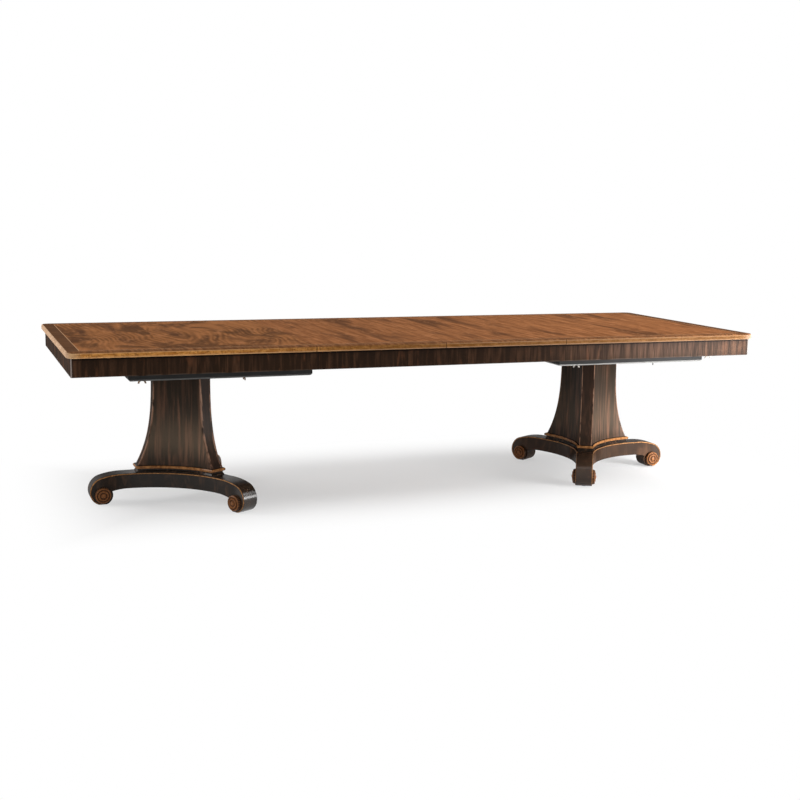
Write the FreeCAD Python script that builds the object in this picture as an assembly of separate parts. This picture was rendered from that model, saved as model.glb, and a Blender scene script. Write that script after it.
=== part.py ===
import FreeCAD, Part
import math
import os

# Extending dining table: two halves on triform pedestals, two skirted leaves, geared slides.
# Millimetres. X runs along the table, the front is at -Y, Z is up.
# The origin is on the floor below the middle.

# Overall sizes
TABLE_HEIGHT = 762.0
TOP_WIDTH = 1168.0
HALF_LENGTH = 1030.0
LEAF_LENGTH = 595.0
SEAM_GAP = 0.4

# Top
TOP_THICKNESS = 26.0
LIPPING_WIDTH = 22.0
LIPPING_ROUND = 7.0
CORNER_RADIUS = 36.0
LEAF_RIDE = 0.3

# Apron
APRON_HEIGHT = 78.0
APRON_THICKNESS = 22.0
APRON_SETBACK = 18.0
APRON_CORNER_ROUND = 5.0
CORNER_BLOCK_SIDE = 62.0
CORNER_BLOCK_DROP = 8.0

# Mounting board, its cleats and bolts
BOARD_LENGTH = 780.0
BOARD_INSET = 45.0
BOARD_THICKNESS = 30.0
BOARD_EASE = 7.0
BOARD_NOSE = 12.0
CLEAT_WIDTH = 52.0
CLEAT_INSET = 73.0
CLEAT_START = 85.0
CLEAT_END_GAP = 75.0
BOLT_RADIUS = 4.0
BOLT_GRIP = 46.0
BOLT_PLAY = 0.1
FRONT_BOLT_SHARES = (0.17, 0.71)
FRONT_WING_TURNS = (0.0, 57.0)
BACK_BOLT_SHARES = (0.36, 0.915)
BACK_WING_TURNS = (90.0, 0.0)
CLEAT_BOLT_INSET = 47.0
WING_SPAN = 36.0
WING_DROP = 20.0
WING_THICKNESS = 4.0
WING_RIM = 7.0
NUT_RADIUS = 8.0
NUT_NECK_RADIUS = 6.0
NUT_HEIGHT = 9.0
SPACER_RADIUS = 10.0
SPACER_HEIGHT = 8.0

# Extension slides
SLIDE_Y = 250.0
RAIL_HEIGHT = 60.0
FIXED_RAIL_WIDTH = 28.0
RAIL_GAP = 1.0
SLIDE_PLAY = 0.3
FIXED_RAIL_LENGTH = 1640.0
RAIL_END_GAP = 45.0
CENTRE_RAIL_LENGTH = 1800.0
TONGUE_DEPTH = 9.0
TONGUE_ROOT = 5.0
TONGUE_TIP = 8.0
TONGUE_DROP_SHARE = 0.7
TONGUE_PLAY = 0.4
TIE_INSET = 175.0
TIE_WIDTH = 70.0
TIE_THICKNESS = 14.0
OPENING_TRAVEL = 50.0

# Equaliser gearing
GEAR_MODULE = 3.5
PINION_TEETH = 14
PRESSURE_ANGLE = math.radians(20.0)
ADDENDUM = 0.8 * GEAR_MODULE
DEDENDUM = 1.05 * GEAR_MODULE
TOOTH_PLAY = 0.35
FLANK_STEPS = 3
GEAR_DROP_SHARE = 0.32
PINION_HEIGHT = 13.0
RACK_HEIGHT = 15.0
RACK_BACK = 4.0
RACK_SINK = 2.7
SHAFT_RADIUS = 4.0
SHAFT_PLAY = 0.06
SHAFT_REACH = 12.0
WINDOW_PLAY = 1.0

# Pedestal
PEDESTAL_INSET = 455.0
COLUMN_TOP_REACH = 145.0
COLUMN_TOP_WAIST = 86.0
COLUMN_FOOT_REACH = 218.0
COLUMN_FOOT_WAIST = 98.0
COLUMN_CORNER = 30.0
COLUMN_STEPS = 6
COLUMN_STEP_POWER = 1.4
FLARE_POWER = 3.4
PLINTH_HEIGHT = 32.0
PLINTH_REACH = 225.0
PLINTH_WAIST = 102.0
PLINTH_CORNER = 37.0
PLINTH_BEAD = 12.0
PLINTH_BEAD_DEPTH = 6.0
PLINTH_COVE_DEPTH = 6.0
BASE_TOP = 139.0
BASE_DEPTH = 69.0
HUB_REACH = 266.0
ARM_WIDTH = 78.0
SHOULDER_RUN = 23.0
SHOULDER_DROP = 11.0
SCROLL_REACH = 377.0
SCROLL_RADIUS = 45.0
SCROLL_OUTER_RADIUS = 58.0
SCROLL_NECK = 16.0
ROSETTE_RADIUS = 37.0
ROSETTE_DEPTH = 22.0
GLIDE_RADIUS = 13.0
GLIDE_HEIGHT = 3.0
TIE_ROD_RADIUS = 6.0
TIE_ROD_PLAY = 0.4
TIE_NUT_RADIUS = 11.0
TIE_NUT_HEIGHT = 10.0
TIE_ROD_END = 4.0
NUT_POCKET_RADIUS = 20.0
NUT_POCKET_DEPTH = 18.0

# Bearer plates that carry the leaves at the seams
BEARER_LENGTH = 80.0
BEARER_WIDTH = 40.0
BEARER_THICKNESS = 4.0
BEARER_REACH = 30.0
BEARER_INSET = 92.0
BEARER_NOSE = 10.0

# Leaf locks
LOCK_PIVOT = 35.0
LOCK_STRIKE = 25.0
LOCK_PLATE_LENGTH = 52.0
LOCK_PLATE_WIDTH = 34.0
LOCK_PLATE_THICKNESS = 3.0
LOCK_POST_RADIUS = 4.0
LOCK_POST_HEAD = 7.0
LOCK_HEAD_THICKNESS = 2.5
LOCK_PLAY = 0.5
LOCK_MOUTH_PLAY = 3.0
LOCK_BAR_WIDTH = 24.0
LOCK_BAR_THICKNESS = 4.0
LOCK_EYE_RADIUS = 12.0
LOCK_TIP = 12.0
LOCK_TAB = 16.0
LOCK_TAB_THICKNESS = 3.0

# Levels and places that follow from the sizes above
SEAM = LEAF_LENGTH
END = SEAM + HALF_LENGTH
SIDE = TOP_WIDTH / 2
TOP_UNDER = TABLE_HEIGHT - TOP_THICKNESS
APRON_FOOT = TOP_UNDER - APRON_HEIGHT
APRON_SIDE = SIDE - APRON_SETBACK
APRON_END = END - APRON_SETBACK
APRON_INNER_SIDE = APRON_SIDE - APRON_THICKNESS
APRON_INNER_END = APRON_END - APRON_THICKNESS
BOARD_UNDER = APRON_FOOT - BOARD_THICKNESS
RAIL_UNDER = TOP_UNDER - RAIL_HEIGHT
CENTRE_RAIL_TOP = TOP_UNDER - SLIDE_PLAY
CLEAT_Y = APRON_INNER_SIDE - CLEAT_INSET - CLEAT_WIDTH / 2
CLEAT_END = APRON_INNER_END - CLEAT_END_GAP
PITCH_RADIUS = GEAR_MODULE * PINION_TEETH / 2
PITCH = math.pi * GEAR_MODULE
GEAR_LEVEL = TOP_UNDER - GEAR_DROP_SHARE * RAIL_HEIGHT
CENTRE_RAIL_WIDTH = 2 * (PITCH_RADIUS - ADDENDUM - RACK_SINK)
FIXED_RAIL_FACE = CENTRE_RAIL_WIDTH / 2 + RAIL_GAP
FIXED_RAIL_BACK = FIXED_RAIL_FACE + FIXED_RAIL_WIDTH
TIE_X = SEAM - TIE_INSET
PEDESTAL_X = SEAM + PEDESTAL_INSET
BASE_UNDER = BASE_TOP - BASE_DEPTH
COLUMN_FOOT = BASE_TOP + PLINTH_HEIGHT
ARM_SHOULDER = HUB_REACH + SHOULDER_RUN
BEARER_Y = SIDE - LIPPING_WIDTH - BEARER_INSET
LOCK_BAR_TOP = TOP_UNDER - LOCK_PLATE_THICKNESS - LOCK_PLAY
LOCK_BAR_FOOT = LOCK_BAR_TOP - LOCK_BAR_THICKNESS
FOOT_ANGLES = (0.0, 120.0, 240.0)


def vector(x, y, z=0.0):
    return FreeCAD.Vector(x, y, z)


def box(x0, x1, y0, y1, z0, z1):
    return Part.makeBox(x1 - x0, y1 - y0, z1 - z0, vector(x0, y0, z0))


def upright(x, y, z0, z1, radius):
    return Part.makeCylinder(radius, z1 - z0, vector(x, y, z0))


def prism(points, z0, z1):
    """Straight-sided block over a closed outline of (x, y) points."""
    loop = [vector(x, y, z0) for x, y in points]
    return Part.Face(Part.makePolygon(loop + loop[:1])).extrude(vector(0, 0, z1 - z0))


def bar(section, x0, x1):
    """Bar along X with a closed section of (y, z) points."""
    loop = [vector(x0, y, z) for y, z in section]
    return Part.Face(Part.makePolygon(loop + loop[:1])).extrude(vector(x1 - x0, 0, 0))


def turned(shape, angle=180.0):
    copy = shape.copy()
    copy.rotate(vector(0, 0), vector(0, 0, 1), angle)
    return copy


def moved(shape, x=0.0, y=0.0, z=0.0):
    copy = shape.copy()
    copy.translate(vector(x, y, z))
    return copy


def mirrored_in_y(shape):
    return shape.mirror(vector(0, 0), vector(0, 1, 0))


def group(solids):
    return Part.makeCompound(solids)


def hexagon(x, y, z0, z1, radius):
    corners = [(x + radius * math.cos(math.radians(60 * k)), y + radius * math.sin(math.radians(60 * k)))
               for k in range(6)]
    return prism(corners, z0, z1)


# Top, lipping and apron of one half

def top_panel():
    inner = SIDE - LIPPING_WIDTH
    return box(SEAM + SEAM_GAP, END - LIPPING_WIDTH, -inner, inner, TOP_UNDER, TABLE_HEIGHT)


def rounded_plan(length_end, side, radius, x0):
    """Plan of a top that is square at x0 and has two round corners at its far end."""
    lean = radius * (1 - math.sqrt(0.5))
    front_run = vector(length_end - radius, -side)
    front_turn = vector(length_end, radius - side)
    back_turn = vector(length_end, side - radius)
    back_run = vector(length_end - radius, side)
    edges = [
        Part.makeLine(vector(x0, -side), front_run),
        Part.Arc(front_run, vector(length_end - lean, lean - side), front_turn).toShape(),
        Part.makeLine(front_turn, back_turn),
        Part.Arc(back_turn, vector(length_end - lean, side - lean), back_run).toShape(),
        Part.makeLine(back_run, vector(x0, side)),
        Part.makeLine(vector(x0, side), vector(x0, -side)),
    ]
    return Part.Face(Part.Wire(edges))


def outer_arrises(shape, x_seam):
    """Long top and bottom edges of a lipping, away from the seam."""
    found = []
    for edge in shape.Edges:
        low, high = edge.BoundBox.ZMin, edge.BoundBox.ZMax
        on_seam = abs(edge.BoundBox.XMax - x_seam) < 0.01
        if high - low < 0.01 and not on_seam:
            found.append(edge)
    return found


def top_lipping():
    """Three strips, mitred at the corners, cut from one ring with rounded arrises."""
    seam = SEAM + SEAM_GAP
    inner_end = END - LIPPING_WIDTH
    inner_side = SIDE - LIPPING_WIDTH
    whole = rounded_plan(END, SIDE, CORNER_RADIUS, seam)
    whole.translate(vector(0, 0, TOP_UNDER))
    slab = whole.extrude(vector(0, 0, TOP_THICKNESS))
    slab = slab.makeFillet(LIPPING_ROUND, outer_arrises(slab, seam))
    ring = slab.cut(box(seam, inner_end, -inner_side, inner_side, TOP_UNDER, TABLE_HEIGHT))
    out_end = END + LIPPING_WIDTH
    out_side = inner_side + out_end - inner_end
    end_field = [(inner_end, -inner_side), (out_end, -out_side), (out_end, out_side), (inner_end, inner_side)]
    side_field = [(seam, inner_side), (inner_end, inner_side), (out_end, out_side), (seam, out_side)]
    end_strip = ring.common(prism(end_field, TOP_UNDER, TABLE_HEIGHT))
    back_strip = ring.common(prism(side_field, TOP_UNDER, TABLE_HEIGHT))
    return group([end_strip, back_strip, mirrored_in_y(back_strip)])


def apron_side():
    return box(SEAM + SEAM_GAP, APRON_INNER_END, APRON_INNER_SIDE, APRON_SIDE, APRON_FOOT, TOP_UNDER)


def apron_end():
    rail = box(APRON_INNER_END, APRON_END, -APRON_SIDE, APRON_SIDE, APRON_FOOT, TOP_UNDER)
    corners = [edge for edge in rail.Edges
               if edge.BoundBox.ZLength > APRON_HEIGHT / 2 and edge.BoundBox.XMin > APRON_END - 0.01]
    return rail.makeFillet(APRON_CORNER_ROUND, corners)


def corner_blocks():
    corner = (APRON_INNER_END, APRON_INNER_SIDE)
    outline = [corner, (corner[0] - CORNER_BLOCK_SIDE, corner[1]), (corner[0], corner[1] - CORNER_BLOCK_SIDE)]
    block = prism(outline, APRON_FOOT + CORNER_BLOCK_DROP, TOP_UNDER)
    return group([block, mirrored_in_y(block)])


# Mounting board, cleats and bolts of one half

def board_bolt_places():
    """X from the middle, Y, and the way the wings point, for each hanger bolt through the board."""
    front = [(SEAM + share * BOARD_LENGTH, -CLEAT_Y, turn)
             for share, turn in zip(FRONT_BOLT_SHARES, FRONT_WING_TURNS)]
    back = [(SEAM + share * BOARD_LENGTH, CLEAT_Y, turn)
            for share, turn in zip(BACK_BOLT_SHARES, BACK_WING_TURNS)]
    return front + back


def bolt_hole(x, y):
    return upright(x, y, BOARD_UNDER, APRON_FOOT + BOLT_GRIP, BOLT_RADIUS + BOLT_PLAY)


def mounting_board():
    """Plate with eased lower edges and a rounded nose at the seam."""
    side = APRON_SIDE - BOARD_INSET
    inner, outer = SEAM + SEAM_GAP, SEAM + BOARD_LENGTH
    eased = BOARD_UNDER + BOARD_EASE
    section = [(-side, APRON_FOOT), (-side, eased), (BOARD_EASE - side, BOARD_UNDER),
               (side - BOARD_EASE, BOARD_UNDER), (side, eased), (side, APRON_FOOT)]
    plank = box(inner, outer, -side, side, BOARD_UNDER, APRON_FOOT)
    ends = [edge for edge in plank.Edges if edge.BoundBox.YLength > side]
    plank = plank.makeFillet(BOARD_NOSE, [edge for edge in ends if edge.BoundBox.XMax < inner + 0.01])
    heel = [edge for edge in plank.Edges if edge.BoundBox.YLength > side
            and edge.BoundBox.XMin > outer - 0.01 and edge.BoundBox.ZMax < BOARD_UNDER + 0.01]
    board = plank.makeChamfer(BOARD_EASE, heel).common(bar(section, inner, outer))
    for x, y, _ in board_bolt_places():
        board = board.cut(bolt_hole(x, y))
    return board.cut(moved(rod_bore(BOARD_UNDER, APRON_FOOT), PEDESTAL_X))


def cleats():
    """Two wooden bars between the top and the mounting board."""
    cleat = box(SEAM + CLEAT_START, CLEAT_END, -CLEAT_WIDTH / 2, CLEAT_WIDTH / 2, APRON_FOOT, TOP_UNDER)
    front = moved(cleat, y=-CLEAT_Y)
    back = moved(cleat, y=CLEAT_Y)
    for x, y, _ in board_bolt_places() + [(CLEAT_END - CLEAT_BOLT_INSET, -CLEAT_Y, 0.0)]:
        front = front.cut(bolt_hole(x, y))
        back = back.cut(bolt_hole(x, y))
    return group([front, back])


def wing_nut(level):
    """Nut whose wings hang down from it as an arch, its seat at the given level."""
    tip = level - WING_DROP
    outer = WING_SPAN / 2
    arch = Part.makeCylinder(outer, WING_THICKNESS, vector(0, -WING_THICKNESS / 2, tip), vector(0, 1, 0))
    arch = arch.cut(Part.makeCylinder(outer - WING_RIM, WING_THICKNESS, vector(0, -WING_THICKNESS / 2, tip),
                                      vector(0, 1, 0)))
    arch = arch.common(box(-outer, outer, -WING_THICKNESS, WING_THICKNESS, tip, level))
    collar = Part.makeCone(NUT_NECK_RADIUS, NUT_RADIUS, NUT_HEIGHT, vector(0, 0, level - NUT_HEIGHT))
    return arch.fuse(collar).cut(upright(0, 0, tip, level, BOLT_RADIUS + BOLT_PLAY))


def hanger_bolt(x, y, seat, turn):
    """Stud with a wing nut on it, the nut's seat at the given level."""
    stud = upright(x, y, seat - NUT_HEIGHT, APRON_FOOT + BOLT_GRIP, BOLT_RADIUS)
    return [stud, moved(turned(wing_nut(seat), turn), x, y)]


def board_bolts():
    solids = []
    for x, y, turn in board_bolt_places():
        solids += hanger_bolt(x, y, BOARD_UNDER, turn)
    x, y = CLEAT_END - CLEAT_BOLT_INSET, -CLEAT_Y
    seat = APRON_FOOT - SPACER_HEIGHT
    spacer = upright(x, y, seat, APRON_FOOT, SPACER_RADIUS)
    solids.append(spacer.cut(upright(x, y, seat, APRON_FOOT, BOLT_RADIUS + BOLT_PLAY)))
    return group(solids + hanger_bolt(x, y, seat, 0.0))


# Slides

def dovetail(way, face, play):
    """Section in (y, z) of a fixed rail's tongue, grown by a play, from a face plane to its tip."""
    level = TOP_UNDER - TONGUE_DROP_SHARE * RAIL_HEIGHT
    slope = (TONGUE_TIP - TONGUE_ROOT) / TONGUE_DEPTH
    root = TONGUE_ROOT + slope * (FIXED_RAIL_FACE - face) + play
    tip = TONGUE_TIP + play
    end = way * (FIXED_RAIL_FACE - TONGUE_DEPTH - play)
    return [(way * face, level - root), (end, level - tip), (end, level + tip), (way * face, level + root)]


def rack_span():
    """X of the right half's rack: it serves the pinion from the closed to the fully opened table."""
    reach = PITCH * math.ceil((PITCH_RADIUS + GEAR_MODULE) / PITCH)
    teeth_in = math.ceil((OPENING_TRAVEL + reach) / PITCH)
    teeth_out = math.ceil((LEAF_LENGTH + reach) / PITCH)
    return -teeth_in, teeth_out


def fixed_rail(way):
    """Rail of the right half beside a centre rail at Y = 0; way is the side it lies on."""
    end = APRON_INNER_END - RAIL_END_GAP
    face, back = way * FIXED_RAIL_FACE, way * FIXED_RAIL_BACK
    tongue = dovetail(way, FIXED_RAIL_FACE, 0.0)
    section = [(back, RAIL_UNDER), (face, RAIL_UNDER)] + tongue + [(face, TOP_UNDER), (back, TOP_UNDER)]
    rail = bar(section, end - FIXED_RAIL_LENGTH, end)
    first, last = rack_span()
    low, high = sorted((way * (FIXED_RAIL_FACE - RAIL_GAP / 2), way * (PITCH_RADIUS + DEDENDUM + RACK_BACK)))
    groove = box((first - 0.5) * PITCH, (last + 0.5) * PITCH, low, high,
                 GEAR_LEVEL - RACK_HEIGHT / 2, GEAR_LEVEL + RACK_HEIGHT / 2)
    return rail.cut(groove)


def rack(way):
    """Toothed strip in the groove of a fixed rail, with a tooth space at X = 0."""
    half_pitch_tooth = PITCH / 4 - TOOTH_PLAY / 2
    tip_half = half_pitch_tooth - ADDENDUM * math.tan(PRESSURE_ANGLE)
    root_half = half_pitch_tooth + DEDENDUM * math.tan(PRESSURE_ANGLE)
    tip, root = PITCH_RADIUS - ADDENDUM, PITCH_RADIUS + DEDENDUM
    first, last = rack_span()
    outline = [((first - 0.5) * PITCH, root)]
    for tooth in range(first, last):
        middle = (tooth + 0.5) * PITCH
        outline += [(middle - root_half, root), (middle - tip_half, tip), (middle + tip_half, tip),
                    (middle + root_half, root)]
    outline += [((last + 0.5) * PITCH, root), ((last + 0.5) * PITCH, root + RACK_BACK),
                ((first - 0.5) * PITCH, root + RACK_BACK)]
    strip = prism(outline, GEAR_LEVEL - RACK_HEIGHT / 2, GEAR_LEVEL + RACK_HEIGHT / 2)
    return strip if way > 0 else mirrored_in_y(strip)


def centre_rail():
    side = CENTRE_RAIL_WIDTH / 2
    section = [(-side, RAIL_UNDER)] + dovetail(-1, side, TONGUE_PLAY) + [(-side, CENTRE_RAIL_TOP)]
    section += [(side, CENTRE_RAIL_TOP)] + dovetail(1, side, TONGUE_PLAY)[::-1] + [(side, RAIL_UNDER)]
    half = CENTRE_RAIL_LENGTH / 2
    rail = bar(section, -half, half)
    window = PITCH_RADIUS + ADDENDUM + WINDOW_PLAY
    depth = PINION_HEIGHT / 2 + WINDOW_PLAY
    rail = rail.cut(box(-window, window, -side, side, GEAR_LEVEL - depth, GEAR_LEVEL + depth))
    reach = depth + SHAFT_REACH
    bore = upright(0, 0, GEAR_LEVEL - reach, CENTRE_RAIL_TOP, SHAFT_RADIUS + SHAFT_PLAY)
    return rail.cut(bore)


def centre_ties():
    side = SLIDE_Y + CENTRE_RAIL_WIDTH / 2
    tie = box(-TIE_WIDTH / 2, TIE_WIDTH / 2, -side, side, RAIL_UNDER - SLIDE_PLAY - TIE_THICKNESS,
              RAIL_UNDER - SLIDE_PLAY)
    pad = box(-TIE_WIDTH / 2, TIE_WIDTH / 2, -CENTRE_RAIL_WIDTH / 2, CENTRE_RAIL_WIDTH / 2,
              RAIL_UNDER - SLIDE_PLAY, RAIL_UNDER)
    tie = tie.fuse([moved(pad, y=-SLIDE_Y), moved(pad, y=SLIDE_Y)]).removeSplitter()
    return group([moved(tie, -TIE_X), moved(tie, TIE_X)])


def involute_angle(radius, base):
    """Polar angle of the involute of the base circle, at a radius."""
    slope = math.acos(min(1.0, base / radius))
    return math.tan(slope) - slope


def pinion():
    """Spur pinion with involute teeth, one of them pointing along -Y, and its shaft."""
    base = PITCH_RADIUS * math.cos(PRESSURE_ANGLE)
    tip, root = PITCH_RADIUS + ADDENDUM, PITCH_RADIUS - DEDENDUM
    half_tooth = (PITCH / 4 - TOOTH_PLAY / 2) / PITCH_RADIUS + involute_angle(PITCH_RADIUS, base)
    flank = [(root, half_tooth)]
    for step in range(FLANK_STEPS + 1):
        radius = base + (tip - base) * step / FLANK_STEPS
        flank.append((radius, half_tooth - involute_angle(radius, base)))
    outline = []
    for tooth in range(PINION_TEETH):
        middle = 2 * math.pi * tooth / PINION_TEETH - math.pi / 2
        for radius, turn in [(r, -t) for r, t in flank] + flank[::-1]:
            outline.append((radius * math.cos(middle + turn), radius * math.sin(middle + turn)))
    wheel = prism(outline, GEAR_LEVEL - PINION_HEIGHT / 2, GEAR_LEVEL + PINION_HEIGHT / 2)
    reach = PINION_HEIGHT / 2 + WINDOW_PLAY + SHAFT_REACH - SLIDE_PLAY
    shaft = upright(0, 0, GEAR_LEVEL - reach, CENTRE_RAIL_TOP - SLIDE_PLAY, SHAFT_RADIUS)
    return wheel.fuse(shaft)


# Pedestal, built on the Z axis with one foot along +X

def triform(reach, corner, waist, z):
    """Three-sided outline: flat corners at reach from the axis, hollow sides at waist from it."""
    edges = []
    for angle in FOOT_ANGLES:
        here, after, between = (math.radians(angle + turn) for turn in (0.0, 120.0, 60.0))
        right = vector(reach * math.cos(here) + corner * math.sin(here),
                       reach * math.sin(here) - corner * math.cos(here), z)
        left = vector(reach * math.cos(here) - corner * math.sin(here),
                      reach * math.sin(here) + corner * math.cos(here), z)
        following = vector(reach * math.cos(after) + corner * math.sin(after),
                           reach * math.sin(after) - corner * math.cos(after), z)
        hollow = vector(waist * math.cos(between), waist * math.sin(between), z)
        edges += [Part.makeLine(right, left), Part.Arc(left, hollow, following).toShape()]
    return Part.Wire(edges)


def rod_bore(z0, z1):
    return upright(0, 0, z0, z1, TIE_ROD_RADIUS + TIE_ROD_PLAY)


def column():
    """Flared column: its corners swing outwards towards the plinth by a power curve."""
    sections = []
    for step in range(COLUMN_STEPS + 1):
        rise = (step / COLUMN_STEPS) ** COLUMN_STEP_POWER
        spread = (1 - rise) ** FLARE_POWER
        reach = COLUMN_TOP_REACH + (COLUMN_FOOT_REACH - COLUMN_TOP_REACH) * spread
        waist = COLUMN_TOP_WAIST + (COLUMN_FOOT_WAIST - COLUMN_TOP_WAIST) * spread
        level = COLUMN_FOOT + rise * (BOARD_UNDER - COLUMN_FOOT)
        sections.append(triform(reach, COLUMN_CORNER, waist, level))
    return Part.makeLoft(sections, True, False).cut(rod_bore(COLUMN_FOOT, BOARD_UNDER))


def plinth():
    """Three-sided block with a cove and a bead under the column."""
    bead_top = PLINTH_HEIGHT - PLINTH_BEAD / 6
    bead_foot = bead_top - PLINTH_BEAD
    cove_top = bead_foot - PLINTH_BEAD / 12
    profile = [
        (0.0, 0.0),
        (cove_top * 0.2, 0.0),
        (cove_top * 0.6, -PLINTH_COVE_DEPTH),
        (cove_top, -PLINTH_COVE_DEPTH),
        (bead_foot, PLINTH_BEAD_DEPTH / 2),
        (bead_foot + PLINTH_BEAD / 3, PLINTH_BEAD_DEPTH),
        (bead_top - PLINTH_BEAD / 3, PLINTH_BEAD_DEPTH),
        (bead_top, PLINTH_BEAD_DEPTH / 2),
        (PLINTH_HEIGHT, -PLINTH_COVE_DEPTH / 2),
    ]
    sections = [triform(PLINTH_REACH + out, PLINTH_CORNER + out / 2, PLINTH_WAIST + out, BASE_TOP + rise)
                for rise, out in profile]
    return Part.makeLoft(sections, True, True).cut(rod_bore(BASE_TOP, COLUMN_FOOT))


def hub():
    """Base block whose hollow sides run tangent into the sides of the arms."""
    corner = ARM_WIDTH / 2
    hollow_radius = (HUB_REACH - corner / math.tan(math.radians(60))) / math.tan(math.radians(30))
    waist = (corner + hollow_radius) / math.sin(math.radians(60)) - hollow_radius
    block = Part.Face(triform(HUB_REACH, corner, waist, BASE_UNDER)).extrude(vector(0, 0, BASE_DEPTH))
    block = block.cut(rod_bore(BASE_UNDER, BASE_TOP))
    return block.cut(upright(0, 0, BASE_UNDER, BASE_UNDER + NUT_POCKET_DEPTH, NUT_POCKET_RADIUS))


def arm():
    """Arm along +X that sweeps over a shoulder and rolls under into a scroll foot."""
    nose = vector(SCROLL_REACH + SCROLL_OUTER_RADIUS, 0, SCROLL_OUTER_RADIUS)
    drop = BASE_TOP - SCROLL_OUTER_RADIUS
    shoulder_radius = drop - SHOULDER_DROP
    shoulder = vector(nose.x - shoulder_radius, 0, nose.z)
    run = shoulder.x - ARM_SHOULDER
    back_radius = (run ** 2 + drop ** 2 - shoulder_radius ** 2) / (2 * SHOULDER_DROP)
    back = vector(ARM_SHOULDER, 0, BASE_TOP - back_radius)
    lean = math.atan2(shoulder.z - back.z, shoulder.x - back.x)

    def around(centre, radius, angle):
        return vector(centre.x + radius * math.cos(angle), 0, centre.z + radius * math.sin(angle))

    neck_half = math.sqrt(SCROLL_RADIUS ** 2 - SCROLL_NECK ** 2)
    scroll = vector(SCROLL_REACH, 0, SCROLL_RADIUS)
    outer = vector(SCROLL_REACH, 0, SCROLL_OUTER_RADIUS)
    top_root = vector(HUB_REACH, 0, BASE_TOP)
    top_break = vector(ARM_SHOULDER, 0, BASE_TOP)
    meeting = around(shoulder, shoulder_radius, lean)
    foot = vector(SCROLL_REACH, 0, 0)
    neck = vector(SCROLL_REACH - neck_half, 0, SCROLL_RADIUS + SCROLL_NECK)
    under_root = vector(HUB_REACH, 0, BASE_UNDER)
    under_middle = vector((HUB_REACH + neck.x) / 2, 0, BASE_UNDER + (neck.z - BASE_UNDER) / 4)
    edges = [
        Part.makeLine(top_root, top_break),
        Part.Arc(top_break, around(back, back_radius, (lean + math.pi / 2) / 2), meeting).toShape(),
        Part.Arc(meeting, around(shoulder, shoulder_radius, lean / 2), nose).toShape(),
        Part.Arc(nose, around(outer, SCROLL_OUTER_RADIUS, -math.pi / 4), foot).toShape(),
        Part.Arc(foot, around(scroll, SCROLL_RADIUS, -0.8 * math.pi), neck).toShape(),
        Part.Arc(neck, under_middle, under_root).toShape(),
        Part.makeLine(under_root, top_root),
    ]
    side = Part.Face(Part.Wire(edges))
    side.translate(vector(0, -ARM_WIDTH / 2, 0))
    solid = side.extrude(vector(0, ARM_WIDTH, 0))
    ground = box(HUB_REACH, nose.x, -ARM_WIDTH / 2, ARM_WIDTH / 2, 0, GLIDE_HEIGHT)
    return solid.cut(ground)


def rosette():
    """Turned roundel of two rings and a button, its back on the XZ plane, facing +Y."""
    profile = [(0.0, 1.0), (0.22, 0.9), (0.32, 0.66), (0.40, 0.66), (0.48, 0.84), (0.60, 0.84), (0.68, 0.55),
               (0.74, 0.55), (0.80, 0.72), (0.92, 0.62), (1.0, 0.25), (1.0, 0.0), (0.0, 0.0)]
    loop = [vector(r * ROSETTE_RADIUS, h * ROSETTE_DEPTH, 0) for r, h in profile]
    face = Part.Face(Part.makePolygon(loop + loop[:1]))
    return face.revolve(vector(0, 0), vector(0, 1, 0), 360)


def rosettes():
    right = moved(rosette(), SCROLL_REACH, ARM_WIDTH / 2, SCROLL_RADIUS)
    pair = [right, mirrored_in_y(right)]
    return group([turned(solid, angle) for angle in FOOT_ANGLES for solid in pair])


def glides():
    glide = upright(SCROLL_REACH, 0, 0, GLIDE_HEIGHT, GLIDE_RADIUS)
    lower = [edge for edge in glide.Edges if edge.BoundBox.ZMax < 0.01]
    glide = glide.makeChamfer(GLIDE_HEIGHT / 3, lower)
    return group([turned(glide, angle) for angle in FOOT_ANGLES])


def tie_rod():
    """Threaded rod with a nut in the hub's pocket and a nut on the mounting board."""
    seat = BASE_UNDER + NUT_POCKET_DEPTH
    rod = upright(0, 0, seat - TIE_NUT_HEIGHT - TIE_ROD_END, APRON_FOOT + TIE_NUT_HEIGHT + TIE_ROD_END,
                  TIE_ROD_RADIUS)
    bore = rod_bore(BASE_UNDER, TOP_UNDER)
    lower_nut = hexagon(0, 0, seat - TIE_NUT_HEIGHT, seat, TIE_NUT_RADIUS)
    upper_nut = hexagon(0, 0, APRON_FOOT, APRON_FOOT + TIE_NUT_HEIGHT, TIE_NUT_RADIUS)
    return group([rod, lower_nut.cut(bore), upper_nut.cut(bore)])


# Leaves, bearer plates and locks

def bearer(y):
    """Flat plate under the right half's top that stands out past the seam, below the leaf."""
    nose = SEAM - BEARER_REACH
    half_width = BEARER_WIDTH / 2
    plate = box(nose, nose + BEARER_LENGTH, y - half_width, y + half_width,
                TOP_UNDER - BEARER_THICKNESS, TOP_UNDER)
    corners = [edge for edge in plate.Edges
               if edge.BoundBox.ZLength > BEARER_THICKNESS / 2 and edge.BoundBox.XMax < nose + 0.01]
    return plate.makeFillet(BEARER_NOSE, corners)


def leaf_panel():
    inner = SIDE - LIPPING_WIDTH
    return box(SEAM_GAP / 2, SEAM, -inner, inner, TOP_UNDER + LEAF_RIDE, TABLE_HEIGHT)


def leaf_lipping():
    section = box(SEAM_GAP / 2, SEAM, SIDE - LIPPING_WIDTH, SIDE, TOP_UNDER + LEAF_RIDE, TABLE_HEIGHT)
    arrises = [edge for edge in section.Edges
               if edge.BoundBox.XLength > LEAF_LENGTH / 2 and edge.BoundBox.YMin > SIDE - 0.01]
    strip = section.makeFillet(LIPPING_ROUND, arrises)
    return group([strip, mirrored_in_y(strip)])


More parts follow.
